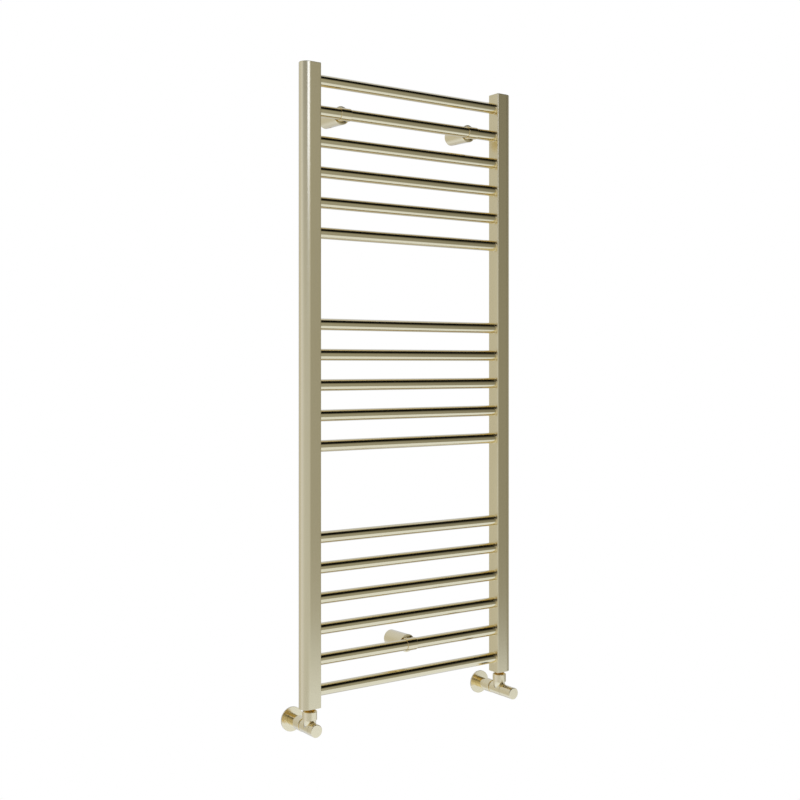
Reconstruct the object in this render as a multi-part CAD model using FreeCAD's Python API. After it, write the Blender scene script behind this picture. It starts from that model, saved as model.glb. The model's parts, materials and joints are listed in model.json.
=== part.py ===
import FreeCAD, Part
import math
import os

# Ladder towel warmer: two hollow posts joined by seventeen round tubes, held off the wall by
# three barrel brackets and fed from below by two angle valves.
# Millimetres. +X runs along the tubes, +Y runs to the wall, +Z is up, and the front faces -Y.
# The origin is the centre of the lowest bracket's wall face, so the wall is the plane Y = 0.

# ---------------------------------------------------------------- driving dimensions
# whole rack
RACK_WIDTH = 500.0
RACK_HEIGHT = 1200.0
BAR_TO_WALL = 68.0          # tube axes to the wall

# posts: flat on the inner, front and back sides, half round on the outer side
POST_WIDTH = 38.0
POST_DEPTH = 30.0
POST_WALL = 1.5
POST_CORNER = 2.0           # rounding of the two inner corners
TOP_PLATE = 3.0

# tubes between the posts
BAR_RADIUS = 11.0
BAR_WALL = 1.2
BAR_TO_END = 30.0           # outermost tube axes to the post ends
BAR_GROUPS = (6, 5, 6)      # tubes in each group, from the bottom up
STEPS_ACROSS_GAP = 3        # a gap between groups is this many tube spacings
BAR_INSERTION = 3.0         # how far a tube end reaches past the post's inner face

# threaded bush in the foot of each post
BUSH_PLATE = 3.0
BUSH_RADIUS = 13.0
BUSH_HEIGHT = 14.0
TAIL_THREAD_RADIUS = 10.42
THREAD_CLEARANCE = 0.06

# vent and blanking plugs on the backs of the posts
PLUG_DROP = 58.5            # plug axes below the post tops
PLUG_BOSS_RADIUS = 9.0
PLUG_BOSS_LENGTH = 7.0
PLUG_BOSS_PROUD = 1.5
PLUG_THREAD_RADIUS = 6.54
PLUG_HEAD_RADIUS = 8.6
PLUG_HEAD_LENGTH = 5.0
SEAL_RADIUS = 0.8
BLEED_SCREW_RADIUS = 2.5
BLEED_SQUARE = 5.0
BLEED_CUP_RADIUS = 4.5
BLEED_CUP_DEPTH = 3.0
BLEED_SEAT = 2.5            # metal left between the screw's tip and the inside of the post
BLEED_JET_RADIUS = 0.9
BLANK_KEY = 6.0             # across the flats of the blanking plug's socket

# wall brackets
BRACKET_TO_POST = 59.0      # upper bracket axes to the posts' inner faces
BARREL_OVER_COLLAR = 5.3    # barrel's front radius past the collar's
BARREL_WALL_RADIUS = 16.0
BARREL_FRONT_GAP = 2.0      # how far the barrel's front face stands ahead of the tube's back
BARREL_WEB = 5.0
BARREL_BORE_RADIUS = 12.0
COLLAR_WIDTH = 23.0
COLLAR_BLOCK_WIDTH = 18.0
SADDLE_GAP = 1.2            # room between the collar and the barrel's saddle
COLLAR_WALL = 1.2
COLLAR_BLOCK = 4.0          # threaded block behind the tube
COLLAR_POCKET_GAP = 0.6     # room round the collar in the barrel's pocket
COLLAR_SCREW_RADIUS = 2.5
COLLAR_SCREW_HEAD_RADIUS = 4.25
COLLAR_SCREW_KEY = 4.0      # across the flats of its hexagon socket
SPIGOT_END_GAP = 6.4        # room between the spigot and the collar screw's head
SPIGOT_CLEARANCE = 0.05
WALL_STUD_RADIUS = 4.0
WALL_STUD_DEPTH = 25.0
GRUB_RADIUS = 2.5
GRUB_TO_WALL = 18.0
GRUB_KEY = 2.5

# angle valves, one under each post
VALVE_DROP = 37.7           # valve axis below the post ends
TAIL_INSET = 16.5           # tail axis to the post's inner face
VALVE_RADIUS = 12.2
VALVE_FRONT = 12.5          # front face ahead of the tail axis
VALVE_BACK = 20.0           # back shoulder behind the tail axis
PIPE_RADIUS = 7.5
PIPE_CLEARANCE = 0.1
PIPE_SPIGOT_LENGTH = 14.0
PIPE_SPIGOT_WALL = 2.9
PIPE_SOCKET_DEPTH = 21.0
SEAT_THICKNESS = 4.0
SEAT_BORE = 5.5
CHAMBER_RADIUS = 9.0
NECK_RADIUS = 11.94
NECK_HEIGHT = 22.0
WATERWAY_RADIUS = 7.0

# tail and union nut
TAIL_RADIUS = 9.0
TAIL_BORE = 6.5
TAIL_COLLAR_RADIUS = 11.6
TAIL_COLLAR = 2.1
TAIL_THREAD_LENGTH = 11.0
GASKET = 1.5
UNION_NUT_RADIUS = 13.8
UNION_NUT_LENGTH = 16.0
UNION_NUT_TOP = 31.7        # top of the nut above the valve axis
UNION_NUT_LIP = 2.0
UNION_NUT_LIP_GAP = 0.3

# compression nut, olive, sleeve and wall flange
NUT_LENGTH = 20.2
NUT_WALL = 2.44
NUT_GROOVE = 2.0            # open groove between the valve's shoulder and the nut
NUT_BACK_WALL = 3.0
OLIVE_LENGTH = 4.5
OLIVE_WALL = 2.0            # olive's rim past the pipe socket's radius
PIPE_HOLE_GAP = 0.4         # olive's, nut's and sleeve's holes past the pipe socket's radius
SLEEVE_GAP = 2.1            # sleeve's inside to the pipe socket's radius
SLEEVE_WALL = 0.8
SLEEVE_LIP = 1.5
SLEEVE_TO_WALL = 0.5
FLANGE_RADIUS = 23.5
FLANGE_THICKNESS = 2.4
FLANGE_EDGE = 0.5            # bevel round the flange's front
SLIDE_CLEARANCE = 0.06

# bonnet, spindle and disc
BONNET_PLUG = 7.5
BONNET_FLANGE = 2.5
BONNET_FLANGE_RADIUS = 10.4
BONNET_STEM = 6.0
BONNET_STEM_RADIUS = 7.0
SPINDLE_RADIUS = 4.0
SPINDLE_CLEARANCE = 0.05
SPINDLE_COLLAR_RADIUS = 6.4
SPINDLE_COLLAR = 2.0
SPINDLE_COLLAR_DEPTH = 8.0  # counterbore that holds the collar, from the bonnet's inner end
SPINDLE_SCREW_RADIUS = 3.0
SPINDLE_SCREW_LENGTH = 13.2
O_RING_RADIUS = 0.55
O_RING_FROM_STEM_END = 3.5
CARRIER_RADIUS = 6.2
BONNET_COUNTERBORE_GAP = 0.3   # room round the carrier and the spindle collar in the bonnet
CARRIER_LENGTH = 12.5
CARRIER_END_WALL = 0.8
WASHER_OVERLAP = 1.3        # washer's rim past the seat bore
WASHER = 2.0

# wheelhead and lockshield cap
HANDLE_GAP = 0.5            # valve front face to the wheelhead or the cap
WHEELHEAD_RADIUS = 11.8
WHEELHEAD_LENGTH = 33.0
WHEELHEAD_SKIRT_WALL = 1.0
WHEELHEAD_GRIP_DEPTH = 14.0
WHEELHEAD_EDGE = 0.8
WHEELHEAD_SCREW_RADIUS = 2.0
WHEELHEAD_SCREW_LENGTH = 6.0
CAP_RADIUS = 12.0
CAP_LENGTH = 12.2
CAP_WALL = 1.2
CAP_FRONT_WALL = 1.8
CAP_HUB_WALL = 1.4
LOCK_SPINDLE_PROUD = 1.5
STEM_END_GAP = 1.5

# ---------------------------------------------------------------- places worked out from them
UP = FreeCAD.Vector(0, 0, 1)
FRONT = FreeCAD.Vector(0, -1, 0)
TO_WALL = FreeCAD.Vector(0, 1, 0)
SIDES = {"left": -1, "right": 1}

INNER_X = RACK_WIDTH / 2 - POST_WIDTH
BAR_Y = -BAR_TO_WALL
BAR_STEPS = sum(BAR_GROUPS) - 1 + (len(BAR_GROUPS) - 1) * (STEPS_ACROSS_GAP - 1)
BAR_PITCH = (RACK_HEIGHT - 2 * BAR_TO_END) / BAR_STEPS
POST_BOTTOM = -(BAR_TO_END + BAR_PITCH)
POST_TOP = POST_BOTTOM + RACK_HEIGHT
POST_BACK = BAR_Y + POST_DEPTH / 2
TOP_BRACKET_Z = (BAR_STEPS - 2) * BAR_PITCH
VALVE_Z = POST_BOTTOM - VALVE_DROP
TAIL_X = INNER_X + TAIL_INSET

# distances ahead of the tail axis, along a valve's own line (negative is towards the wall)
PIPE_STOP_AT = -(VALVE_BACK + PIPE_SPIGOT_LENGTH - PIPE_SOCKET_DEPTH)
SEAT_AT = PIPE_STOP_AT + SEAT_THICKNESS
SPIGOT_END_AT = -(VALVE_BACK + PIPE_SPIGOT_LENGTH)
NUT_FRONT_AT = -(VALVE_BACK + NUT_GROOVE)
NUT_END_AT = NUT_FRONT_AT - NUT_LENGTH
BONNET_INNER_AT = VALVE_FRONT - BONNET_PLUG
STEM_AT = VALVE_FRONT + BONNET_FLANGE
STEM_END_AT = STEM_AT + BONNET_STEM
COLLAR_FRONT_AT = BONNET_INNER_AT + SPINDLE_COLLAR_DEPTH
COLLAR_BACK_AT = COLLAR_FRONT_AT - SPINDLE_COLLAR
HANDLE_AT = VALVE_FRONT + HANDLE_GAP
SOCKET_RADIUS = PIPE_RADIUS + PIPE_CLEARANCE
PIPE_SPIGOT_RADIUS = SOCKET_RADIUS + PIPE_SPIGOT_WALL
PIPE_HOLE_RADIUS = SOCKET_RADIUS + PIPE_HOLE_GAP
SLEEVE_INSIDE = SOCKET_RADIUS + SLEEVE_GAP
SLEEVE_RADIUS = SLEEVE_INSIDE + SLEEVE_WALL


# ---------------------------------------------------------------- shape helpers
def placed(solid, origin, axis):
    """Stand a solid that was made about +Z at an origin, with its +Z along an axis."""
    solid.Placement = FreeCAD.Placement(origin, FreeCAD.Rotation(UP, axis))
    return solid


def rod(radius, start, end, origin, axis):
    """Round bar between two distances along an axis."""
    return placed(Part.makeCylinder(radius, end - start, UP * start), origin, axis)


def turned(outline, origin, axis):
    """Lathe-turned solid: a closed outline of (radius, distance along the axis) points."""
    points = [FreeCAD.Vector(radius, 0, distance) for radius, distance in outline]
    section = Part.Face(Part.makePolygon(points + points[:1]))
    return placed(section.revolve(FreeCAD.Vector(), UP, 360), origin, axis)


def ring(outer, inner, start, end, origin, axis):
    """Plain ring or tube between two distances along an axis."""
    return turned([(inner, start), (outer, start), (outer, end), (inner, end)], origin, axis)


def prism(flats, sides, start, end, origin, axis):
    """Bar with a regular outline, such as a square or a hexagon, sized across its flats."""
    corner = flats / 2 / math.cos(math.pi / sides)
    turns = [2 * math.pi * (index + 0.5) / sides for index in range(sides)]
    points = [FreeCAD.Vector(corner * math.cos(turn), corner * math.sin(turn), start) for turn in turns]
    outline = Part.Face(Part.makePolygon(points + points[:1]))
    return placed(outline.extrude(UP * (end - start)), origin, axis)


def box(low, high):
    """Box between two corners."""
    return Part.makeBox(high.x - low.x, high.y - low.y, high.z - low.z, low)


def export(name, *solids):
    """Write one sub-part, made of one solid or of several alike."""
    shape = solids[0] if len(solids) == 1 else Part.makeCompound(list(solids))
    shape.exportStep("parts/" + name + ".step")


# ---------------------------------------------------------------- posts, tubes and end pieces
def bar_heights():
    """Heights of the tube axes, from the bottom up, with a wide gap after each group."""
    heights = []
    step = 0
    for count in BAR_GROUPS:
        heights += [POST_BOTTOM + BAR_TO_END + BAR_PITCH * (step + index) for index in range(count)]
        step += count + STEPS_ACROSS_GAP - 1
    return heights


def post_section(inset, height):
    """Face of the right post's outline, drawn in by an inset: flat inside, half round outside."""
    inner = INNER_X + inset
    half = POST_DEPTH / 2 - inset
    centre = RACK_WIDTH / 2 - POST_DEPTH / 2
    corner = POST_CORNER - inset / 2
    slant = corner * (1 - math.sqrt(0.5))

    def point(x, y):
        return FreeCAD.Vector(x, BAR_Y + y, height)

    edges = [
        Part.LineSegment(point(inner + corner, -half), point(centre, -half)),
        Part.Arc(point(centre, -half), point(centre + half, 0), point(centre, half)),
        Part.LineSegment(point(centre, half), point(inner + corner, half)),
        Part.Arc(point(inner + corner, half), point(inner + slant, half - slant), point(inner, half - corner)),
        Part.LineSegment(point(inner, half - corner), point(inner, corner - half)),
        Part.Arc(point(inner, corner - half), point(inner + slant, slant - half), point(inner + corner, -half)),
    ]
    return Part.Face(Part.Wire([edge.toShape() for edge in edges]))


def on_side(shape, side):
    """A right-hand shape as it is, or mirrored to the left."""
    return shape if side > 0 else shape.mirror(FreeCAD.Vector(), FreeCAD.Vector(1, 0, 0))


def post(side):
    """Hollow post with a hole for each tube and one in its back for the plug boss."""
    shell = post_section(0, POST_BOTTOM).extrude(UP * RACK_HEIGHT)
    shell = shell.cut(post_section(POST_WALL, POST_BOTTOM).extrude(UP * RACK_HEIGHT))
    along = FreeCAD.Vector(1, 0, 0)
    holes = [
        rod(BAR_RADIUS, -POST_WALL, 2 * POST_WALL, FreeCAD.Vector(INNER_X, BAR_Y, height), along)
        for height in bar_heights()
    ]
    holes.append(rod(PLUG_BOSS_RADIUS, -2 * POST_WALL, POST_WALL, plug_origin(1), TO_WALL))
    return on_side(shell.cut(holes), side)


def bar(height):
    """One tube, open at both ends inside the posts."""
    reach = INNER_X + BAR_INSERTION
    origin = FreeCAD.Vector(0, BAR_Y, height)
    return ring(BAR_RADIUS, BAR_RADIUS - BAR_WALL, -reach, reach, origin, FreeCAD.Vector(1, 0, 0))


def top_plate(side):
    """Plate brazed inside the top of a post, flush with its end."""
    return on_side(post_section(POST_WALL, POST_TOP - TOP_PLATE).extrude(UP * TOP_PLATE), side)


def bottom_bush(side):
    """Plate in the foot of a post with a threaded bush for the valve tail."""
    foot = FreeCAD.Vector(TAIL_X, BAR_Y, POST_BOTTOM)
    inside = post_section(POST_WALL, POST_BOTTOM)
    boss = rod(BUSH_RADIUS, 0, BUSH_HEIGHT, foot, UP).common(inside.extrude(UP * BUSH_HEIGHT))
    bush = inside.extrude(UP * BUSH_PLATE).fuse(boss)
    return on_side(bush.cut(rod(TAIL_THREAD_RADIUS + THREAD_CLEARANCE, 0, BUSH_HEIGHT, foot, UP)), side)


# ---------------------------------------------------------------- vent and blanking plugs
def plug_origin(side):
    """Point on a post's back face where a plug's axis leaves it."""
    return FreeCAD.Vector(side * TAIL_X, POST_BACK, POST_TOP - PLUG_DROP)


def plug_boss(side):
    """Threaded boss brazed into the post's back wall."""
    start = PLUG_BOSS_PROUD - PLUG_BOSS_LENGTH
    bore = PLUG_THREAD_RADIUS + THREAD_CLEARANCE
    return ring(PLUG_BOSS_RADIUS, bore, start, PLUG_BOSS_PROUD, plug_origin(side), TO_WALL)


def plug_seal(side):
    """O-ring squeezed between the boss and the plug's head."""
    seal = Part.makeTorus(PLUG_THREAD_RADIUS + SEAL_RADIUS, SEAL_RADIUS, UP * (PLUG_BOSS_PROUD + SEAL_RADIUS))
    return placed(seal, plug_origin(side), TO_WALL)


def plug(side):
    """Plug with a round head that seats on its O-ring and a plain shank in place of the thread."""
    start = PLUG_BOSS_PROUD - PLUG_BOSS_LENGTH
    head = PLUG_BOSS_PROUD + 2 * SEAL_RADIUS
    end = head + PLUG_HEAD_LENGTH
    outline = [
        (0, start),
        (PLUG_THREAD_RADIUS, start),
        (PLUG_THREAD_RADIUS, PLUG_BOSS_PROUD),
        (PLUG_THREAD_RADIUS - SEAL_RADIUS / 2, PLUG_BOSS_PROUD),
        (PLUG_THREAD_RADIUS - SEAL_RADIUS / 2, head),
        (PLUG_HEAD_RADIUS, head),
        (PLUG_HEAD_RADIUS, end),
        (0, end),
    ]
    return turned(outline, plug_origin(side), TO_WALL), start, end


def blank_plug():
    """Blanking plug on the left post, with a hexagon socket in its head."""
    body, _, end = plug(-1)
    return body.cut(prism(BLANK_KEY, 6, end - PLUG_HEAD_LENGTH, end, plug_origin(-1), TO_WALL))


def vent_pieces():
    """Vent body on the right post and the bleed screw that closes its jet."""
    body, start, end = plug(1)
    origin = plug_origin(1)
    cup = end - BLEED_CUP_DEPTH
    tip = start + BLEED_SEAT
    bore = BLEED_SCREW_RADIUS + SPINDLE_CLEARANCE
    side_hole = rod(BLEED_JET_RADIUS, 0, 2 * PLUG_HEAD_RADIUS, origin + TO_WALL * (cup - BLEED_SEAT), -UP)
    body = body.cut([
        rod(BLEED_CUP_RADIUS, cup, end, origin, TO_WALL),
        rod(bore, tip, cup, origin, TO_WALL),
        rod(BLEED_JET_RADIUS, start, tip, origin, TO_WALL),
        side_hole,
    ])
    screw = rod(BLEED_SCREW_RADIUS, tip, cup, origin, TO_WALL)
    screw = screw.fuse(prism(BLEED_SQUARE, 4, cup, end, origin, TO_WALL))
    return body, screw


# ---------------------------------------------------------------- wall brackets
BARREL_LENGTH = BAR_TO_WALL - BAR_RADIUS + BARREL_FRONT_GAP
COLLAR_RADIUS = BAR_RADIUS + COLLAR_WALL
BARREL_FRONT_RADIUS = COLLAR_RADIUS + BARREL_OVER_COLLAR
BLOCK_AT = BAR_TO_WALL - BAR_RADIUS - COLLAR_BLOCK      # back of the collar's block, from the wall
WEB_AT = BLOCK_AT - COLLAR_POCKET_GAP
BORE_END_AT = WEB_AT - BARREL_WEB
SCREW_HEAD_AT = BORE_END_AT - 2 * COLLAR_SCREW_RADIUS
SPIGOT_LENGTH = SCREW_HEAD_AT - SPIGOT_END_GAP
SPIGOT_RADIUS = BARREL_BORE_RADIUS - SPIGOT_CLEARANCE


def bracket_origins():
    """Centres of the three brackets' wall faces."""
    reach = INNER_X - BRACKET_TO_POST
    return {
        "bottom": FreeCAD.Vector(0, 0, 0),
        "top_left": FreeCAD.Vector(-reach, 0, TOP_BRACKET_Z),
        "top_right": FreeCAD.Vector(reach, 0, TOP_BRACKET_Z),
    }


def bar_through(origin, radius, half_width):
    """Rod along the tube that a bracket holds, centred on the bracket."""
    centre = origin + FRONT * BAR_TO_WALL
    return rod(radius, -half_width, half_width, centre, FreeCAD.Vector(1, 0, 0))


def barrel(origin):
    """Tapered barrel, bored from the wall for its spigot, with a saddle and a pocket for the collar."""
    body = turned(
        [(0, 0), (BARREL_WALL_RADIUS, 0), (BARREL_FRONT_RADIUS, BARREL_LENGTH), (0, BARREL_LENGTH)],
        origin,
        FRONT,
    )
    half_width = COLLAR_BLOCK_WIDTH / 2 + COLLAR_POCKET_GAP
    half_height = COLLAR_RADIUS + COLLAR_POCKET_GAP
    pocket = box(
        origin + FreeCAD.Vector(-half_width, -BARREL_LENGTH, -half_height),
        origin + FreeCAD.Vector(half_width, -WEB_AT, half_height),
    )
    grub_hole = rod(GRUB_RADIUS, 0, 2 * BARREL_FRONT_RADIUS, origin + FRONT * GRUB_TO_WALL, -UP)
    return body.cut([
        rod(BARREL_BORE_RADIUS, 0, BORE_END_AT, origin, FRONT),
        rod(COLLAR_SCREW_RADIUS + COLLAR_POCKET_GAP / 2, BORE_END_AT, WEB_AT, origin, FRONT),
        pocket,
        bar_through(origin, COLLAR_RADIUS + SADDLE_GAP, BARREL_FRONT_RADIUS),
        grub_hole,
    ])


def collar(origin):
    """Ring round the tube with a threaded block behind it, drawn into the barrel's pocket."""
    half_width = COLLAR_WIDTH / 2
    half_block = COLLAR_BLOCK_WIDTH / 2
    block = box(
        origin + FreeCAD.Vector(-half_block, -BAR_TO_WALL, -COLLAR_RADIUS),
        origin + FreeCAD.Vector(half_block, -BLOCK_AT, COLLAR_RADIUS),
    )
    screw_hole = rod(COLLAR_SCREW_RADIUS, BLOCK_AT, BAR_TO_WALL, origin, FRONT)
    body = bar_through(origin, COLLAR_RADIUS, half_width).fuse(block)
    return body.cut([bar_through(origin, BAR_RADIUS, half_width), screw_hole])


def collar_screw(origin):
    """Socket-head screw inside the barrel that pulls the collar and the tube against it."""
    head = rod(COLLAR_SCREW_HEAD_RADIUS, SCREW_HEAD_AT, BORE_END_AT, origin, FRONT)
    shank = rod(COLLAR_SCREW_RADIUS, BORE_END_AT, BAR_TO_WALL - BAR_RADIUS - COLLAR_POCKET_GAP, origin, FRONT)
    key = prism(COLLAR_SCREW_KEY, 6, SCREW_HEAD_AT, SCREW_HEAD_AT + COLLAR_SCREW_RADIUS, origin, FRONT)
    return head.fuse(shank).cut(key)


def spigot(origin):
    """Spigot that screws onto a stud in the wall and carries the barrel."""
    body = rod(SPIGOT_RADIUS, 0, SPIGOT_LENGTH, origin, FRONT)
    return body.cut(rod(WALL_STUD_RADIUS, 0, WALL_STUD_DEPTH, origin, FRONT))


def grub_screw(origin):
    """Hexagon-socket grub screw that locks a barrel on its spigot, from below."""
    start = origin + FRONT * GRUB_TO_WALL
    end = BARREL_WALL_RADIUS - COLLAR_POCKET_GAP
    screw = rod(GRUB_RADIUS, SPIGOT_RADIUS, end, start, -UP)
    return screw.cut(prism(GRUB_KEY, 6, end - GRUB_RADIUS / 2, end, start, -UP))


# ---------------------------------------------------------------- angle valves
def valve_origin(side):
    """Point where a valve's horizontal axis meets its tail's axis."""
    return FreeCAD.Vector(side * TAIL_X, BAR_Y, VALVE_Z)


def valve_body(at):
    """Angle body: pipe socket at the back, seat and chamber inside, neck to the union above."""
    body = rod(VALVE_RADIUS, -VALVE_BACK, VALVE_FRONT, at, FRONT)
    body = body.fuse([
        rod(PIPE_SPIGOT_RADIUS, SPIGOT_END_AT, -VALVE_BACK, at, FRONT),
        rod(NECK_RADIUS, 0, NECK_HEIGHT, at, UP),
    ])
    return body.cut([
        rod(SOCKET_RADIUS, SPIGOT_END_AT, PIPE_STOP_AT, at, FRONT),
        rod(SEAT_BORE, PIPE_STOP_AT, SEAT_AT, at, FRONT),
        rod(CHAMBER_RADIUS, SEAT_AT, VALVE_FRONT, at, FRONT),
        rod(WATERWAY_RADIUS, 0, NECK_HEIGHT, at, UP),
    ])


def bonnet(at):
    """Bonnet screwed into the valve's front: plug, flange and stem, bored for the spindle."""
    plug_radius = CHAMBER_RADIUS - THREAD_CLEARANCE
    bore = SPINDLE_RADIUS + SPINDLE_CLEARANCE
    counterbore = CARRIER_RADIUS + BONNET_COUNTERBORE_GAP
    groove = STEM_END_AT - O_RING_FROM_STEM_END
    groove_depth = bore + 2 * O_RING_RADIUS
    outline = [
        (counterbore, BONNET_INNER_AT),
        (plug_radius, BONNET_INNER_AT),
        (plug_radius, VALVE_FRONT),
        (BONNET_FLANGE_RADIUS, VALVE_FRONT),
        (BONNET_FLANGE_RADIUS, STEM_AT),
        (BONNET_STEM_RADIUS, STEM_AT),
        (BONNET_STEM_RADIUS, STEM_END_AT),
        (bore, STEM_END_AT),
        (bore, groove + O_RING_RADIUS),
        (groove_depth, groove + O_RING_RADIUS),
        (groove_depth, groove - O_RING_RADIUS),
        (bore, groove - O_RING_RADIUS),
        (bore, COLLAR_FRONT_AT),
        (counterbore, COLLAR_FRONT_AT),
    ]
    return turned(outline, at, FRONT)


def o_ring(at):
    """O-ring in the bonnet's groove, round the spindle."""
    centre = STEM_END_AT - O_RING_FROM_STEM_END
    seal = Part.makeTorus(SPINDLE_RADIUS + SPINDLE_CLEARANCE + O_RING_RADIUS, O_RING_RADIUS, UP * centre)
    return placed(seal, at, FRONT)


def spindle(at, end):
    """Non-rising spindle: screw for the disc carrier, collar in the bonnet, plain shaft."""
    outline = [
        (0, COLLAR_BACK_AT - SPINDLE_SCREW_LENGTH),
        (SPINDLE_SCREW_RADIUS, COLLAR_BACK_AT - SPINDLE_SCREW_LENGTH),
        (SPINDLE_SCREW_RADIUS, COLLAR_BACK_AT),
        (SPINDLE_COLLAR_RADIUS, COLLAR_BACK_AT),
        (SPINDLE_COLLAR_RADIUS, COLLAR_FRONT_AT - SPINDLE_CLEARANCE),
        (SPINDLE_RADIUS, COLLAR_FRONT_AT - SPINDLE_CLEARANCE),
        (SPINDLE_RADIUS, end),
        (0, end),
    ]
    return turned(outline, at, FRONT)


def disc(at):
    """Disc carrier and washer, closed against the seat, bored for the spindle's screw."""
    washer_front = SEAT_AT + WASHER
    front = washer_front + CARRIER_LENGTH
    bore = SPINDLE_SCREW_RADIUS + SPINDLE_CLEARANCE
    outline = [
        (0, SEAT_AT),
        (SEAT_BORE + WASHER_OVERLAP, SEAT_AT),
        (SEAT_BORE + WASHER_OVERLAP, washer_front),
        (CARRIER_RADIUS, washer_front),
        (CARRIER_RADIUS, front),
        (bore, front),
        (bore, washer_front + CARRIER_END_WALL),
        (0, washer_front + CARRIER_END_WALL),
    ]
    return turned(outline, at, FRONT)


def tail(at):
    """Tail piece: collar under the union nut's lip and a plain shank in place of its thread."""
    collar_start = NECK_HEIGHT + GASKET
    collar_end = collar_start + TAIL_COLLAR
    outline = [
        (TAIL_BORE, collar_start),
        (TAIL_COLLAR_RADIUS, collar_start),
        (TAIL_COLLAR_RADIUS, collar_end),
        (TAIL_RADIUS, collar_end),
        (TAIL_RADIUS, VALVE_DROP),
        (TAIL_THREAD_RADIUS, VALVE_DROP),
        (TAIL_THREAD_RADIUS, VALVE_DROP + TAIL_THREAD_LENGTH),
        (TAIL_BORE, VALVE_DROP + TAIL_THREAD_LENGTH),
    ]
    return turned(outline, at, UP)


def union_nut(at):
    """Round union nut: thread below, lip over the tail's collar, open cup above the lip."""
    lip_start = NECK_HEIGHT + GASKET + TAIL_COLLAR + THREAD_CLEARANCE
    lip_end = lip_start + UNION_NUT_LIP
    thread = NECK_RADIUS + THREAD_CLEARANCE
    lip_bore = TAIL_RADIUS + UNION_NUT_LIP_GAP
    outline = [
        (thread, UNION_NUT_TOP - UNION_NUT_LENGTH),
        (UNION_NUT_RADIUS, UNION_NUT_TOP - UNION_NUT_LENGTH),
        (UNION_NUT_RADIUS, UNION_NUT_TOP),
        (thread, UNION_NUT_TOP),
        (thread, lip_end),
        (lip_bore, lip_end),
        (lip_bore, lip_start),
        (thread, lip_start),
    ]
    return turned(outline, at, UP)


def gasket(at):
    """Flat gasket between the valve's neck and the tail's collar."""
    return ring(TAIL_COLLAR_RADIUS, WATERWAY_RADIUS, NECK_HEIGHT, NECK_HEIGHT + GASKET, at, UP)


def compression_nut(at):
    """Round nut on the pipe spigot, which squeezes the olive onto the pipe."""
    thread = PIPE_SPIGOT_RADIUS + THREAD_CLEARANCE
    outline = [
        (thread, NUT_FRONT_AT),
        (thread, SPIGOT_END_AT - THREAD_CLEARANCE),
        (SOCKET_RADIUS + OLIVE_WALL + THREAD_CLEARANCE, SPIGOT_END_AT - THREAD_CLEARANCE),
        (SOCKET_RADIUS + OLIVE_WALL + THREAD_CLEARANCE, NUT_END_AT + NUT_BACK_WALL),
        (PIPE_HOLE_RADIUS, NUT_END_AT + NUT_BACK_WALL),
        (PIPE_HOLE_RADIUS, NUT_END_AT),
        (thread + NUT_WALL, NUT_END_AT),
        (thread + NUT_WALL, NUT_FRONT_AT),
    ]
    return turned(outline, at, FRONT)


def olive(at):
    """Open olive with both ends bevelled, between the pipe spigot and the nut's back wall."""
    front = SPIGOT_END_AT
    back = front - OLIVE_LENGTH
    rim = SOCKET_RADIUS + OLIVE_WALL
    outline = [
        (PIPE_HOLE_RADIUS, back),
        (rim - OLIVE_WALL / 2, back),
        (rim, back + OLIVE_WALL / 2),
        (rim, front - OLIVE_WALL / 2),
        (rim - OLIVE_WALL / 2, front),
        (PIPE_HOLE_RADIUS, front),
    ]
    return turned(outline, at, FRONT)


def sleeve(at):
    """Thin cover over the pipe, from the compression nut to the wall, centred by a lip."""
    end = SLEEVE_TO_WALL - BAR_TO_WALL
    outline = [
        (PIPE_HOLE_RADIUS, NUT_END_AT),
        (SLEEVE_RADIUS, NUT_END_AT),
        (SLEEVE_RADIUS, end),
        (SLEEVE_INSIDE, end),
        (SLEEVE_INSIDE, NUT_END_AT - SLEEVE_LIP),
        (PIPE_HOLE_RADIUS, NUT_END_AT - SLEEVE_LIP),
    ]
    return turned(outline, at, FRONT)


def wall_flange(at):
    """Flat bevelled flange that slides on the sleeve and covers the hole in the wall."""
    bore = SLEEVE_RADIUS + SLIDE_CLEARANCE
    front = FLANGE_THICKNESS - BAR_TO_WALL
    outline = [
        (bore, -BAR_TO_WALL),
        (FLANGE_RADIUS, -BAR_TO_WALL),
        (FLANGE_RADIUS, front - FLANGE_EDGE),
        (FLANGE_RADIUS - FLANGE_EDGE, front),
        (bore, front),
    ]
    return turned(outline, at, FRONT)


def wheelhead(at):
    """Plain round wheelhead: skirt over the bonnet, hub on the spindle, small bevel in front."""
    end = HANDLE_AT + WHEELHEAD_LENGTH
    hub = STEM_END_AT + STEM_END_GAP
    bore = SPINDLE_RADIUS + THREAD_CLEARANCE / 2
    skirt = WHEELHEAD_RADIUS - WHEELHEAD_SKIRT_WALL
    outline = [
        (skirt, HANDLE_AT),
        (WHEELHEAD_RADIUS, HANDLE_AT),
        (WHEELHEAD_RADIUS, end - WHEELHEAD_EDGE),
        (WHEELHEAD_RADIUS - WHEELHEAD_EDGE, end),
        (0, end),
        (0, hub + WHEELHEAD_GRIP_DEPTH),
        (bore, hub + WHEELHEAD_GRIP_DEPTH),
        (bore, hub),
        (skirt, hub),
    ]
    screw_hole = rod(WHEELHEAD_SCREW_RADIUS, 0, 2 * WHEELHEAD_RADIUS, wheelhead_screw_origin(at), -UP)
    return turned(outline, at, FRONT).cut(screw_hole)


def wheelhead_screw_origin(at):
    """Point on the spindle's axis, half way along the wheelhead's grip on it."""
    return at + FRONT * (STEM_END_AT + STEM_END_GAP + WHEELHEAD_GRIP_DEPTH / 2)


def wheelhead_screw(at):
    """Grub screw that fixes the wheelhead to the spindle, from below."""
    start = SPINDLE_RADIUS
    end = start + WHEELHEAD_SCREW_LENGTH
    origin = wheelhead_screw_origin(at)
    screw = rod(WHEELHEAD_SCREW_RADIUS, start, end, origin, -UP)
    return screw.cut(prism(WHEELHEAD_SCREW_RADIUS, 6, end - WHEELHEAD_SCREW_RADIUS, end, origin, -UP))


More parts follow.
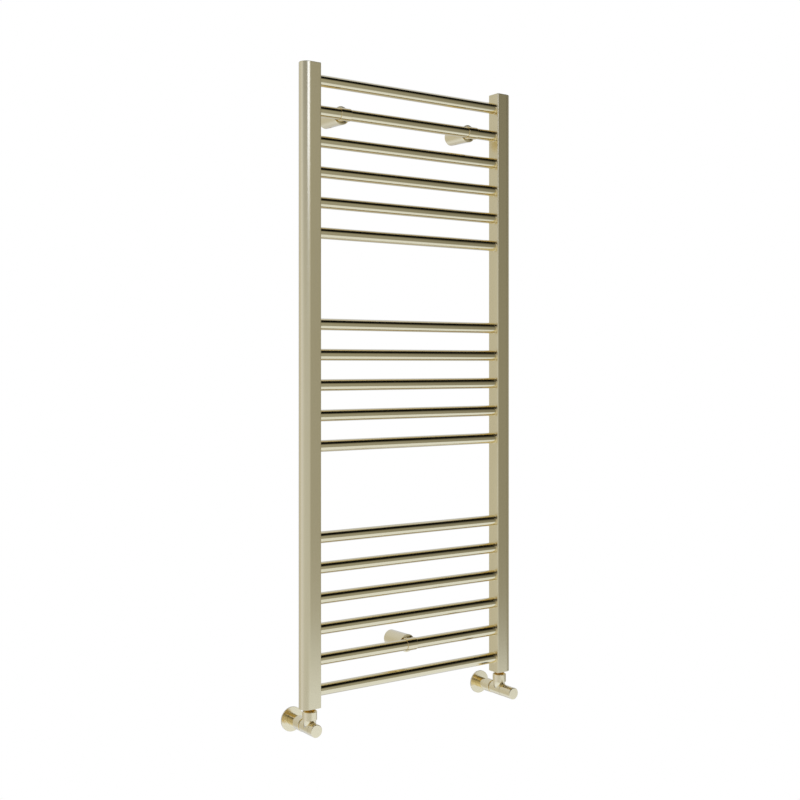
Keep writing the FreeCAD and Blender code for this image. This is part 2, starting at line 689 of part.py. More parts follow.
def lockshield_cap(at):
    """Push-on cap over the lockshield spindle, with a hub that grips the bonnet's stem."""
    end = HANDLE_AT + CAP_LENGTH
    floor = end - CAP_FRONT_WALL
    hub_inside = BONNET_STEM_RADIUS + SLIDE_CLEARANCE
    hub_start = STEM_AT + STEM_END_GAP
    inside = CAP_RADIUS - CAP_WALL
    outline = [
        (inside, HANDLE_AT),
        (CAP_RADIUS, HANDLE_AT),
        (CAP_RADIUS, end - WHEELHEAD_EDGE),
        (CAP_RADIUS - WHEELHEAD_EDGE, end),
        (0, end),
        (0, floor),
        (hub_inside, floor),
        (hub_inside, hub_start),
        (hub_inside + CAP_HUB_WALL, hub_start),
        (hub_inside + CAP_HUB_WALL, floor),
        (inside, floor),
    ]
    return turned(outline, at, FRONT)


# ---------------------------------------------------------------- build
def build_frame():
    """Posts, tubes, end plates, bushes and plugs."""
    for name, side in SIDES.items():
        export("post_" + name, post(side))
    for number, height in enumerate(bar_heights(), start=1):
        export("bar_%02d" % number, bar(height))
    export("post_top_plates", *[top_plate(side) for side in SIDES.values()])
    export("post_bottom_bushes", *[bottom_bush(side) for side in SIDES.values()])
    export("plug_bosses", *[plug_boss(side) for side in SIDES.values()])
    export("plug_seals", *[plug_seal(side) for side in SIDES.values()])
    export("blank_plug", blank_plug())
    body, screw = vent_pieces()
    export("vent_body", body)
    export("bleed_screw", screw)


def build_brackets():
    """Three wall brackets with their collars, spigots and screws."""
    origins = bracket_origins()
    for name, origin in origins.items():
        export("bracket_barrel_" + name, barrel(origin))
        export("bracket_collar_" + name, collar(origin))
    export("wall_spigots", *[spigot(origin) for origin in origins.values()])
    export("collar_screws", *[collar_screw(origin) for origin in origins.values()])
    export("barrel_grub_screws", *[grub_screw(origin) for origin in origins.values()])


def build_valves():
    """Two angle valves: the lockshield on the left and the wheelhead on the right."""
    wheel_spindle_end = STEM_END_AT + STEM_END_GAP + WHEELHEAD_GRIP_DEPTH - THREAD_CLEARANCE
    lock_spindle_end = STEM_END_AT + LOCK_SPINDLE_PROUD
    spindle_ends = {"left": lock_spindle_end, "right": wheel_spindle_end}
    makers = {
        "valve_body_": valve_body,
        "bonnet_": bonnet,
        "valve_disc_": disc,
        "valve_tail_": tail,
        "union_nut_": union_nut,
        "compression_nut_": compression_nut,
        "pipe_sleeve_": sleeve,
        "wall_flange_": wall_flange,
    }
    for name, side in SIDES.items():
        at = valve_origin(side)
        export("spindle_" + name, spindle(at, spindle_ends[name]))
        for prefix, maker in makers.items():
            export(prefix + name, maker(at))
    origins = [valve_origin(side) for side in SIDES.values()]
    export("tail_gaskets", *[gasket(at) for at in origins])
    export("olives", *[olive(at) for at in origins])
    export("spindle_o_rings", *[o_ring(at) for at in origins])
    export("wheelhead", wheelhead(valve_origin(SIDES["right"])))
    export("wheelhead_screw", wheelhead_screw(valve_origin(SIDES["right"])))
    export("lockshield_cap", lockshield_cap(valve_origin(SIDES["left"])))


os.makedirs("parts", exist_ok=True)
build_frame()
build_brackets()
build_valves()
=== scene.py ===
"""Ladder towel warmer in satin and polished pale brass: its finished looks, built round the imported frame.

Metres, in the frame's own axes: +X along the tubes, +Y to the wall, +Z up.
"""

import json
import math

import bmesh
import bpy
import numpy as np
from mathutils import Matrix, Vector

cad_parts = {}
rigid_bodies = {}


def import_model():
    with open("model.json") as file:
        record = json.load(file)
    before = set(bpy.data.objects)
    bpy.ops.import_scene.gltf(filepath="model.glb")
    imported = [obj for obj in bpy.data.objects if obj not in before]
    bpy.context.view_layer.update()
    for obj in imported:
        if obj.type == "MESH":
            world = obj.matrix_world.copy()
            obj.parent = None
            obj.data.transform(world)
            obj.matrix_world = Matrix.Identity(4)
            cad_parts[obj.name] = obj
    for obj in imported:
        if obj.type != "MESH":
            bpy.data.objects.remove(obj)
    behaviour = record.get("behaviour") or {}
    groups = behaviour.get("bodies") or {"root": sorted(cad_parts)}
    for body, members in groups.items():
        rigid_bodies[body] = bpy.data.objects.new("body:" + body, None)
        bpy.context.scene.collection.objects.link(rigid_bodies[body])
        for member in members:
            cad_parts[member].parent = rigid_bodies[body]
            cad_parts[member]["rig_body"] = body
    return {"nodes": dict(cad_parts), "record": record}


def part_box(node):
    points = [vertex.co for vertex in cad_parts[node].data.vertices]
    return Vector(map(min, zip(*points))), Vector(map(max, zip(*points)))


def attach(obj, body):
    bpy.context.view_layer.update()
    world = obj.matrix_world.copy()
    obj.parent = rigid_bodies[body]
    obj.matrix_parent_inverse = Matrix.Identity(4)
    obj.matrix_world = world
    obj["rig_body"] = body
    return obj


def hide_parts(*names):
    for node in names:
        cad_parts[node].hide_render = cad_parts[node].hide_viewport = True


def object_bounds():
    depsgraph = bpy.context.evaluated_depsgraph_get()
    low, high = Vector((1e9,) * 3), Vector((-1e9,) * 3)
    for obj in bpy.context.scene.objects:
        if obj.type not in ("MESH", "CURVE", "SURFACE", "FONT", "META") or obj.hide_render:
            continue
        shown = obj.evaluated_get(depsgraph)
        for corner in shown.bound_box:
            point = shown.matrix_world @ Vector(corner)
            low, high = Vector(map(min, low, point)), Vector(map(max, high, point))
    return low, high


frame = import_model()
CAD_BOX = [list(corner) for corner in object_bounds()]

MM = 0.001
SIDES = ("left", "right")
NODES = frame["nodes"]
ALONG = (1, 0, 0)               # along the tubes
FRONT = (0, -1, 0)              # away from the wall
UP = (0, 0, 1)
MERGE_DISTANCE = 1e-6           # points closer than this are joined
TURNED_SEGMENTS = 96
FINE_SEGMENTS = 128             # round the tubes, collars and valve bodies, whose reflections are long


# ---------------------------------------------------------------- places read from the frame
def corners(node):
    """Lowest and highest corner of a CAD node, as arrays in metres."""
    low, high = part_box(node)
    return np.array(low), np.array(high)


def centre(node):
    """Middle of a CAD node's box."""
    low, high = corners(node)
    return (low + high) / 2


def body_of(node):
    """Name of the body that a CAD node belongs to."""
    return NODES[node]["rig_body"]


def slot_of(node):
    """Material slot that the record gives a CAD node."""
    parts = frame["record"]["subparts"]
    return next(part["material_slot"] for part in parts if part["node"] == node)


def valve_origin(side):
    """Where a valve's horizontal line crosses its tail's vertical one."""
    tail = centre("valve_tail_" + side)
    return np.array([tail[0], tail[1], centre("compression_nut_" + side)[2]])


# ---------------------------------------------------------------- surfaces
def grid_faces(rows, columns, wrap_rows=False, wrap_columns=True):
    """Four-cornered faces of a grid of points: each joins a point to the next along both directions."""
    row = np.arange(rows if wrap_rows else rows - 1)[:, None]
    column = np.arange(columns if wrap_columns else columns - 1)[None, :]
    next_row = (row + 1) % rows
    next_column = (column + 1) % columns
    corner_ids = [row * columns + column, row * columns + next_column]
    corner_ids += [next_row * columns + next_column, next_row * columns + column]
    return np.stack([ids.ravel() for ids in np.broadcast_arrays(*corner_ids)], axis=1)


def show_instead(node, suffix, mesh, material):
    """Show a mesh in a CAD node's place, on the node's body, with the material given."""
    mesh.materials.append(material)
    piece = bpy.data.objects.new(node + suffix, mesh)
    bpy.context.scene.collection.objects.link(piece)
    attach(piece, body_of(node))
    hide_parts(node)
    return piece


def in_place_of(node, suffix, shells, material):
    """New piece of closed shells in a CAD node's place.

    The shells go into one mesh, whose seams and poles are closed and whose faces are turned outwards.
    """
    starts = np.cumsum([0] + [points.size // 3 for points, _ in shells])
    points = np.concatenate([points.reshape(-1, 3) for points, _ in shells])
    faces = [(face + start).tolist() for (_, ids), start in zip(shells, starts) for face in ids]
    mesh = bpy.data.meshes.new(node + suffix)
    mesh.from_pydata(points.tolist(), [], faces)
    work = bmesh.new()
    work.from_mesh(mesh)
    bmesh.ops.remove_doubles(work, verts=work.verts, dist=MERGE_DISTANCE)
    bmesh.ops.recalc_face_normals(work, faces=work.faces)
    work.to_mesh(mesh)
    work.free()
    mesh.shade_smooth()
    show_instead(node, suffix, mesh, material)


def rounded(corner_list, steps=5, hold=0.06):
    """Outline through corners given as (radius, distance, rounding), all in millimetres.

    A corner with a rounding becomes a circular arc tangent to both of its sides: its centre lies on
    the corner's bisector, at rounding / sin(half the corner's angle) from it. A point is added just
    outside each end of an arc, so that the flats beside it are shaded flat.
    """
    outline = []
    places = np.array([corner[:2] for corner in corner_list], float)
    for index, (_, _, rounding) in enumerate(corner_list):
        here = places[index]
        if rounding == 0:
            outline.append(here)
            continue
        before = places[index - 1] - here
        after = places[(index + 1) % len(places)] - here
        before = before / np.linalg.norm(before)
        after = after / np.linalg.norm(after)
        half = math.acos(np.clip(before @ after, -1, 1)) / 2
        reach = rounding / math.tan(half)
        bisector = (before + after) / np.linalg.norm(before + after)
        middle = here + bisector * rounding / math.sin(half)
        start = here + before * reach - middle
        end = here + after * reach - middle
        sweep = math.pi - 2 * half
        share = np.linspace(0, 1, steps + 1)[:, None]
        arc = (np.sin((1 - share) * sweep) * start + np.sin(share * sweep) * end) / math.sin(sweep)
        outline.append(here + before * (reach + hold))
        outline.extend(middle + arc)
        outline.append(here + after * (reach + hold))
    return np.array(outline) * MM


def turned(corner_list, origin, axis, segments=TURNED_SEGMENTS):
    """Closed lathe-turned shell: an outline of (radius, distance) corners carried round an axis.

    The point at outline place s and turn t is origin + axis * distance(s)
    + radius(s) * (cos t * first + sin t * second), where first and second are square to the axis.
    """
    outline = rounded(corner_list)
    axis = np.array(axis, float)
    first = np.array([1.0, 0, 0]) if abs(axis[0]) < 0.5 else np.array([0, 1.0, 0])
    second = np.cross(axis, first)
    turn = np.linspace(0, 2 * math.pi, segments, endpoint=False)
    spokes = np.cos(turn)[:, None] * first + np.sin(turn)[:, None] * second
    points = outline[:, 0, None, None] * spokes + outline[:, 1, None, None] * axis + origin
    return points, grid_faces(len(outline), segments, wrap_rows=True)


FLAT_WITHIN_DEGREES = 1         # faces that meet at less than this become one
EASED_FROM_DEGREES = 35         # edges sharper than this are rounded off
EASED_STEPS = 3


def eased_copy(node, edge_mm, planes_mm, material):
    """Copy of a CAD node with its points merged and its sharp edges rounded off.

    The copy is cut by planes square to Y a little inside its ends, so that the rounding bends the
    shading only between a plane and the end beside it.
    """
    mesh = NODES[node].data.copy()
    mesh.transform(NODES[node].matrix_world)
    work = bmesh.new()
    work.from_mesh(mesh)
    bmesh.ops.remove_doubles(work, verts=work.verts, dist=MERGE_DISTANCE)
    flat_within = math.radians(FLAT_WITHIN_DEGREES)
    bmesh.ops.dissolve_limit(work, angle_limit=flat_within, verts=work.verts, edges=work.edges)
    for plane in planes_mm:
        parts = list(work.verts) + list(work.edges) + list(work.faces)
        bmesh.ops.bisect_plane(work, geom=parts, plane_co=(0, plane * MM, 0), plane_no=(0, 1, 0))
    bmesh.ops.recalc_face_normals(work, faces=work.faces)
    work.to_mesh(mesh)
    work.free()
    mesh.shade_smooth()
    mesh.materials.clear()
    piece = show_instead(node, "_eased", mesh, material)
    edge = piece.modifiers.new("eased_edges", "BEVEL")
    edge.width = edge_mm * MM
    edge.segments = EASED_STEPS
    edge.limit_method = "ANGLE"
    edge.angle_limit = math.radians(EASED_FROM_DEGREES)


# ---------------------------------------------------------------- materials
def linear(hex_colour):
    """An sRGB hex colour as linear red, green, blue and alpha."""
    channels = np.array([int(hex_colour[place:place + 2], 16) for place in (1, 3, 5)]) / 255
    curved = ((channels + 0.055) / 1.055) ** 2.4
    return (*np.where(channels <= 0.04045, channels / 12.92, curved).tolist(), 1.0)


def add(tree, kind, inputs=None, **settings):
    """Add one node with its settings, and set or link its inputs by name or number."""
    node = tree.nodes.new(kind)
    for key, value in settings.items():
        setattr(node, key, value)
    for key, value in (inputs or {}).items():
        if isinstance(value, bpy.types.NodeSocket):
            tree.links.new(value, node.inputs[key])
        else:
            node.inputs[key].default_value = value
    return node


def mixed(tree, share, first, second, blend="MIX"):
    """Blend of two colours."""
    inputs = {"Factor": share, 6: first, 7: second}
    return add(tree, "ShaderNodeMix", inputs, data_type="RGBA", blend_type=blend).outputs[2]


def empty_material(name):
    """New material and its node tree, with no nodes in it yet."""
    material = bpy.data.materials.new(name)
    material.use_nodes = True
    material.node_tree.nodes.clear()
    return material, material.node_tree


CLOUD_MM = 60                   # size of the broad clouds in the brass's tone
CLOUD_SHARE = 0.35              # their share of the tone; the grain has the rest


def brass(name, light, dark, grain_mm, roughness, roughness_spread, bump_mm):
    """Metal with a directional grain: fine lines whose spacing along X, Y and Z is given in millimetres.

    Stretched noise gives the lines; it moves the colour between two tones, spreads the roughness and
    lifts the surface by a few thousandths of a millimetre. A second, broad noise clouds the tone.
    """
    material, tree = empty_material(name)
    place = add(tree, "ShaderNodeTexCoord").outputs["Object"]
    scale = [1 / (spacing * MM) for spacing in grain_mm]
    stretched = add(tree, "ShaderNodeMapping", {"Vector": place, "Scale": scale}).outputs["Vector"]
    grain = {"Vector": stretched, "Scale": 1.0, "Detail": 3.0, "Roughness": 0.6}
    lines = add(tree, "ShaderNodeTexNoise", grain).outputs["Fac"]
    cloud = {"Vector": place, "Scale": 1 / (CLOUD_MM * MM), "Detail": 2.0}
    clouds = add(tree, "ShaderNodeTexNoise", cloud).outputs["Fac"]
    blend = add(
        tree,
        "ShaderNodeMix",
        {"Factor": CLOUD_SHARE, 2: lines, 3: clouds},
        data_type="FLOAT",
    ).outputs[0]
    spread = add(
        tree,
        "ShaderNodeMapRange",
        {
            "Value": lines,
            "From Min": 0.25,
            "From Max": 0.75,
            "To Min": roughness - roughness_spread,
            "To Max": roughness + roughness_spread,
        },
    )
    relief = {"Height": lines, "Distance": bump_mm * MM, "Strength": 1.0}
    bump = add(tree, "ShaderNodeBump", relief)
    shader = add(
        tree,
        "ShaderNodeBsdfPrincipled",
        {
            "Base Color": mixed(tree, blend, linear(dark), linear(light)),
            "Metallic": 1.0,
            "Roughness": spread.outputs["Result"],
            "Normal": bump.outputs["Normal"],
        },
    )
    add(tree, "ShaderNodeOutputMaterial", {"Surface": shader.outputs["BSDF"]})
    return material


# Brass-plated posts, linished along their length: soft, even reflections drawn out a little sideways.
SATIN_POST = brass("satin_linished_brass", "#e9d8a4", "#e5d19a", (0.5, 0.5, 70.0), 0.25, 0.02, 0.0001)
# Tubes polished round and round on a belt, so almost a mirror with hairline rings across them.
POLISHED_TUBE = brass("belt_polished_brass", "#e9d7a3", "#e5d29b", (0.6, 14.0, 14.0), 0.12, 0.01, 0.00002)
# Turned and plated fittings: a little yellower, with fine lathe rings under a satin coat.
SATIN_FITTING = brass("satin_plated_brass", "#f0dda8", "#ecd8a1", (3.0, 0.5, 3.0), 0.2, 0.02, 0.0001)
# Collars and pipe sleeves, left bright from the polishing wheel: clear reflections edged with gold.
POLISHED_FITTING = brass("bright_plated_brass", "#ecd9a3", "#e9d59e", (2.0, 2.0, 2.0), 0.1, 0.005, 0.00001)
# Bare turned brass of the inner works.
TURNED_BRASS = brass("turned_brass", "#d9b872", "#c9a55c", (2.0, 0.4, 2.0), 0.28, 0.05, 0.002)
# Stainless socket screws, as machined.
STAINLESS = brass("machined_stainless", "#cfcfca", "#bdbdb8", (0.4, 0.4, 2.0), 0.3, 0.05, 0.002)


RUBBER_PIT_MM = 0.4
RUBBER_PIT_DEPTH_MM = 0.01


def moulded_rubber():
    """Black EPDM rubber of the seals: dull, with the fine pits of its mould."""
    material, tree = empty_material("moulded_rubber")
    place = add(tree, "ShaderNodeTexCoord").outputs["Object"]
    pattern = {"Vector": place, "Scale": 1 / (RUBBER_PIT_MM * MM), "Detail": 2.0}
    pits = add(tree, "ShaderNodeTexNoise", pattern).outputs["Fac"]
    tone = mixed(tree, pits, linear("#191919"), linear("#262626"))
    bump = add(tree, "ShaderNodeBump", {"Height": pits, "Distance": RUBBER_PIT_DEPTH_MM * MM})
    shader = add(
        tree,
        "ShaderNodeBsdfPrincipled",
        {"Base Color": tone, "Roughness": 0.6, "Normal": bump.outputs["Normal"]},
    )
    add(tree, "ShaderNodeOutputMaterial", {"Surface": shader.outputs["BSDF"]})
    return material


BY_SLOT = {
    "satin_posts": SATIN_POST,
    "polished_tubes": POLISHED_TUBE,
    "satin_fittings": SATIN_FITTING,
    "turned_brass": TURNED_BRASS,
    "stainless_screws": STAINLESS,
    "rubber": moulded_rubber(),
}


def finish_cad_nodes():
    """Give every CAD node the finish of its slot; those that a new piece replaces aren't shown."""
    for name, node in NODES.items():
        node.data.materials.clear()
        node.data.materials.append(BY_SLOT[slot_of(name)])


# ---------------------------------------------------------------- posts and tubes
POST_WALL_MM = 1.5
POST_CORNER_MM = 2.0
END_BEVEL_MM = 0.5
FLAT_HOLD_MM = 0.1              # beside a rounding, where a point keeps the flat next to it shaded flat
ROUND_STEPS = 48                # along the half circle
CORNER_STEPS = 8
TUBE_WALL_MM = 1.2
FILLET_MM = 0.7                 # braze fillet round a tube's end
FILLET_BITE_MM = 0.3            # how far the fillet goes on into the post
FILLET_STEPS = 6


def post_section(side, inset):
    """Outline of a post drawn in by an inset: flat inner, front and back sides and a half-round outer one.

    It runs round the half circle, whose radius is half the depth less the inset, and then round the
    two small corners, whose radius is the corner's less half of the inset.
    """
    low, high = corners("post_" + side)
    half = (high[1] - low[1]) / 2 - inset
    outward = 1 if side == "right" else -1
    outer = high[0] if outward > 0 else low[0]
    inner = (low[0] if outward > 0 else high[0]) + outward * inset
    round_centre = outer - outward * (high[1] - low[1]) / 2
    small = POST_CORNER_MM * MM - inset / 2
    turn = np.linspace(-math.pi / 2, math.pi / 2, ROUND_STEPS + 1)
    arc = np.stack([round_centre + outward * half * np.cos(turn), half * np.sin(turn)], axis=1)
    quarter = np.linspace(0, math.pi / 2, CORNER_STEPS + 1)
    across = small * (1 - np.sin(quarter))
    along = small * (1 - np.cos(quarter))
    back = np.stack([inner + outward * across, half - along], axis=1)
    front = np.stack([inner + outward * across[::-1], -half + along[::-1]], axis=1)
    hold = np.array([outward * FLAT_HOLD_MM * MM, 0])
    outside = [[arc[0] - hold], arc, [arc[-1] - hold]]
    inside = [[back[0] + hold], back, front, [front[-1] + hold]]
    return np.concatenate(outside + inside) + [0, (low[1] + high[1]) / 2]


def post(side):
    """Hollow post: its section carried up the outside and down the inside, with a bevel at each rim."""
    low, high = corners("post_" + side)
    bevel = END_BEVEL_MM * MM
    wall = POST_WALL_MM * MM
    path = [
        (low[2], bevel), (low[2] + bevel, 0), (low[2] + 2 * bevel, 0),
        (high[2] - 2 * bevel, 0), (high[2] - bevel, 0), (high[2], bevel),
        (high[2], wall - bevel / 4), (high[2] - bevel / 4, wall),
        (low[2] + bevel / 4, wall), (low[2], wall - bevel / 4),
    ]
    rings = []
    for height, inset in path:
        section = post_section(side, inset)
        rings.append(np.column_stack([section, np.full(len(section), height)]))
    points = np.array(rings)
    faces = grid_faces(points.shape[0], points.shape[1], wrap_rows=True)
    in_place_of("post_" + side, "_satin", [(points, faces)], SATIN_POST)


def tube(node):
    """Cross tube whose ends spread into a small braze fillet where they meet the posts."""
    low, high = corners(node)
    radius = (high[2] - low[2]) / 2 / MM
    reach = (high[0] - low[0]) / 2 / MM
    face = corners("post_right")[0][0] / MM
    rim = radius + FILLET_MM
    inner = radius - TUBE_WALL_MM
    turn = np.linspace(0, math.pi / 2, FILLET_STEPS + 1)
    flare = [(rim - FILLET_MM * math.sin(t), face - FILLET_MM * (1 - math.cos(t)), 0) for t in turn]
    half = [(inner, reach, 0), (radius, reach, 0), (rim, face + FILLET_BITE_MM, 0), *flare]
    half += [(radius, face - 2 * FILLET_MM, 0)]
    outline = half + [(r, -x, 0) for r, x, _ in reversed(half)]
    shell = turned(outline, centre(node), ALONG, FINE_SEGMENTS)
    in_place_of(node, "_polished", [shell], POLISHED_TUBE)


# ---------------------------------------------------------------- brackets
BAR_RADIUS_MM = 11.0
COLLAR_RADIUS_MM = 12.2
COLLAR_HALF_MM = 11.5
BLOCK_HALF_MM = 9.0
COLLAR_RIM_MM = 0.3
COLLAR_GAP_MM = 0.02            # between the collar and the tube
BLOCK_BACK_MM = 15.0            # back of the collar's block behind the tube's axis
BLOCK_STEPS = 64
BARREL_EDGE_MM = 0.6
BARREL_PLANES_MM = (-53.6, -1.5)  # just behind the barrel's saddle, and just ahead of the wall


def collar(place):
    """Ring round a tube, with rounded rims, and the flat-sided block that the barrel's screw pulls on.

    The block's section fans round the back half of the tube: at angle t its inside is a circle and its
    outside is the nearer of the flat back and the flat top or bottom, min(back / cos t, half / |sin t|).
    """
    node = "bracket_collar_" + place
    barrel = centre("bracket_barrel_" + place)
    origin = np.array([barrel[0], centre("bar_01")[1], barrel[2]])
    inner = BAR_RADIUS_MM + COLLAR_GAP_MM
    outline = [
        (inner, -COLLAR_HALF_MM, 0), (COLLAR_RADIUS_MM, -COLLAR_HALF_MM, COLLAR_RIM_MM),
        (COLLAR_RADIUS_MM, COLLAR_HALF_MM, COLLAR_RIM_MM), (inner, COLLAR_HALF_MM, 0),
    ]
    ring = turned(outline, origin, ALONG, FINE_SEGMENTS)
    turn = np.linspace(-math.pi / 2, math.pi / 2, BLOCK_STEPS + 1)
    tiny = 1e-6
    to_back = BLOCK_BACK_MM / np.maximum(np.cos(turn), tiny)
    to_side = COLLAR_RADIUS_MM / np.maximum(np.abs(np.sin(turn)), tiny)
    flat = np.minimum(to_back, to_side)
    points = np.empty((4, len(turn), 3))
    for row, (reach, x) in enumerate([(inner, -1), (flat, -1), (flat, 1), (inner, 1)]):
        across = np.full(len(turn), x * BLOCK_HALF_MM)
        points[row] = np.stack([across, reach * np.cos(turn), reach * np.sin(turn)], axis=1)
    faces = grid_faces(4, len(turn), wrap_rows=True, wrap_columns=False)
    first_column = np.arange(4) * len(turn)
    ends = np.array([first_column, first_column + len(turn) - 1])
    block = (points * MM + origin, np.concatenate([faces, ends]))
    in_place_of(node, "_polished", [ring, block], POLISHED_FITTING)


# ---------------------------------------------------------------- valves
def valve(side):
    """Round fittings of one valve, as outlines of (radius, distance, rounding) about its two axes.

    All are in millimetres, with the CAD solids' sizes. Distances run forwards from the tail's axis on
    the valve's own line, and upwards from that line on the tail.
    """
    at = valve_origin(side)
    fittings = {
        "wall_flange_": (FRONT, [
            (10.56, -68, 0), (23.5, -68, 0), (23.5, -65.6, 0.35), (10.56, -65.6, 0.2),
        ]),
        "pipe_sleeve_": (FRONT, [
            (8.0, -42.25, 0), (10.5, -42.25, 0.3), (10.5, -67.5, 0.2), (9.7, -67.5, 0),
            (9.7, -43.7, 0), (8.0, -43.7, 0),
        ]),
        "compression_nut_": (FRONT, [
            (10.56, -22.0, 0.3), (10.56, -34.06, 0), (9.66, -34.06, 0), (9.66, -39.2, 0),
            (8.0, -39.2, 0), (8.0, -42.2, 0.3), (13.0, -42.2, 0.9), (13.0, -22.0, 1.2),
        ]),
        "valve_tail_": (UP, [
            (6.5, 23.5, 0), (11.6, 23.5, 0), (11.6, 25.6, 0.3), (9.0, 25.6, 0), (9.0, 37.7, 0),
            (10.42, 37.7, 0), (10.42, 48.7, 0.3), (6.5, 48.7, 0),
        ]),
        "union_nut_": (UP, [
            (12.0, 15.7, 0.3), (13.8, 15.7, 0.8), (13.8, 31.7, 0.7), (12.0, 31.7, 0.3), (12.0, 27.66, 0),
            (9.3, 27.66, 0.3), (9.3, 25.66, 0), (12.0, 25.66, 0),
        ]),
    }
    for prefix, (axis, outline) in fittings.items():
        finish = POLISHED_FITTING if prefix == "pipe_sleeve_" else SATIN_FITTING
        in_place_of(prefix + side, "_turned", [turned(outline, at, axis)], finish)
    through = [
        (7.6, -34, 0.2), (10.5, -34, 0.3), (10.5, -20, 0), (12.2, -20, 0.6), (12.2, 12.5, 0.4),
        (9.0, 12.5, 0.2), (9.0, -9, 0), (5.5, -9, 0), (5.5, -13, 0), (7.6, -13, 0),
    ]
    neck = [(7.0, 0, 0), (11.94, 0, 0), (11.94, 22, 0.3), (7.0, 22, 0)]
    shells = [turned(through, at, FRONT, FINE_SEGMENTS), turned(neck, at, UP, FINE_SEGMENTS)]
    in_place_of("valve_body_" + side, "_turned", shells, SATIN_FITTING)


def lockshield_cap():
    """Push-on cap of the lockshield valve, with a rounded front edge."""
    outline = [
        (10.8, 13.0, 0), (12.0, 13.0, 0.3), (12.0, 25.2, 1.0), (0, 25.2, 0), (0, 23.4, 0),
        (7.06, 23.4, 0), (7.06, 16.5, 0), (8.46, 16.5, 0), (8.46, 23.4, 0), (10.8, 23.4, 0),
    ]
    shell = turned(outline, valve_origin("left"), FRONT)
    in_place_of("lockshield_cap", "_turned", [shell], SATIN_FITTING)


# ---------------------------------------------------------------- stage, light and camera
# Lengths in metres. Brightnesses and angles are those of the studio as the brass reflects it.
STUDIO_STEPS = 64               # round the cove and the patch of floor
FLOOR_DROP = 0.40               # floor below the rack's lowest point, as it is hung
FLOOR_PATCH = (0.6, -0.9)       # middle of the lit patch of floor, in front of the rack and to its right
FLOOR_PATCH_SINK = 0.01         # it lies this far under the floor
FLOOR_BRIGHT_TO = 0.85          # it fades between these two distances from its middle
FLOOR_DARK_FROM = 1.35
FLOOR_TONE = (0.86, 1.0, 1.47, 1.0)
COVE_RADIUS = 9.0
COVE_BEND = 2.0                 # radius of the curve between its floor and its dome
COVE_HOLE = 0.01                # radius left open in the middle of its floor


def stage_piece(name, points, faces, material, seen):
    """Piece of the studio, which either the camera sees or the metal reflects."""
    mesh = bpy.data.meshes.new(name)
    mesh.from_pydata(points.tolist(), [], faces.tolist())
    mesh.materials.append(material)
    piece = bpy.data.objects.new(name, mesh)
    bpy.context.scene.collection.objects.link(piece)
    piece.visible_camera = seen
    piece.visible_glossy = not seen
    piece.visible_diffuse = not seen
    piece.visible_shadow = False


def studio_cove():
    """White cove round the whole set: a flat floor that curves up into a dome.

    The section is a floor out to a bend, a quarter circle, and then a dome up to the axis, and it is
    carried round the vertical.
    """
    floor = CAD_BOX[0][2] - FLOOR_DROP
    quarter = np.linspace(0, math.pi / 2, 13)
    rise = np.linspace(0, math.pi / 2, 17)[1:]
    inside_bend = COVE_RADIUS - COVE_BEND
    radius = [[COVE_HOLE], inside_bend + COVE_BEND * np.sin(quarter), COVE_RADIUS * np.cos(rise)]
    height = [[0], COVE_BEND * (1 - np.cos(quarter)), COVE_BEND + COVE_RADIUS * np.sin(rise)]
    section = np.stack([np.concatenate(radius), floor + np.concatenate(height)], axis=1)
    turn = np.linspace(0, 2 * math.pi, STUDIO_STEPS, endpoint=False)
    points = np.empty((len(section), len(turn), 3))
    points[..., 0] = section[:, :1] * np.cos(turn)
    points[..., 1] = section[:, :1] * np.sin(turn)
    points[..., 2] = section[:, 1:]
    faces = grid_faces(len(section), len(turn))
    material, tree = empty_material("white_cove")
    glow = add(tree, "ShaderNodeEmission", {"Color": (1.0, 1.0, 1.0, 1.0), "Strength": 1.0})
    add(tree, "ShaderNodeOutputMaterial", {"Surface": glow.outputs["Emission"]})
    stage_piece("floor", points.reshape(-1, 3), faces, material, seen=True)


def floor_bounce():
    """Lit patch of floor that the brass reflects: bright in its middle and fading out with distance."""
    middle = np.array([*FLOOR_PATCH, CAD_BOX[0][2] - FLOOR_DROP - FLOOR_PATCH_SINK])
    turn = np.linspace(0, 2 * math.pi, STUDIO_STEPS, endpoint=False)
    rim = FLOOR_DARK_FROM * np.stack([np.cos(turn), np.sin(turn), np.zeros(STUDIO_STEPS)], axis=1)
    points = np.concatenate([rim, [[0, 0, 0]]]) + middle
    index = np.arange(STUDIO_STEPS)
    hub = np.full(STUDIO_STEPS, STUDIO_STEPS)
    faces = np.stack([index, (index + 1) % STUDIO_STEPS, hub], axis=1)
    material, tree = empty_material("floor_bounce")
    glow = add(tree, "ShaderNodeEmission", {"Color": FLOOR_TONE, "Strength": 1.0})
    place = add(tree, "ShaderNodeTexCoord").outputs["Object"]
    settings = {0: place, 1: tuple(middle)}
    distance = add(tree, "ShaderNodeVectorMath", settings, operation="DISTANCE").outputs["Value"]
    fade = add(
        tree,
        "ShaderNodeMapRange",
        {"Value": distance, "From Min": FLOOR_BRIGHT_TO, "From Max": FLOOR_DARK_FROM},
        interpolation_type="SMOOTHSTEP",
    ).outputs["Result"]
    open_air = add(tree, "ShaderNodeBsdfTransparent").outputs["BSDF"]
    blend = add(tree, "ShaderNodeMixShader", {0: fade, 1: glow.outputs["Emission"], 2: open_air})
    add(tree, "ShaderNodeOutputMaterial", {"Surface": blend.outputs["Shader"]})
    stage_piece("floor_bounce", points, faces, material, seen=False)


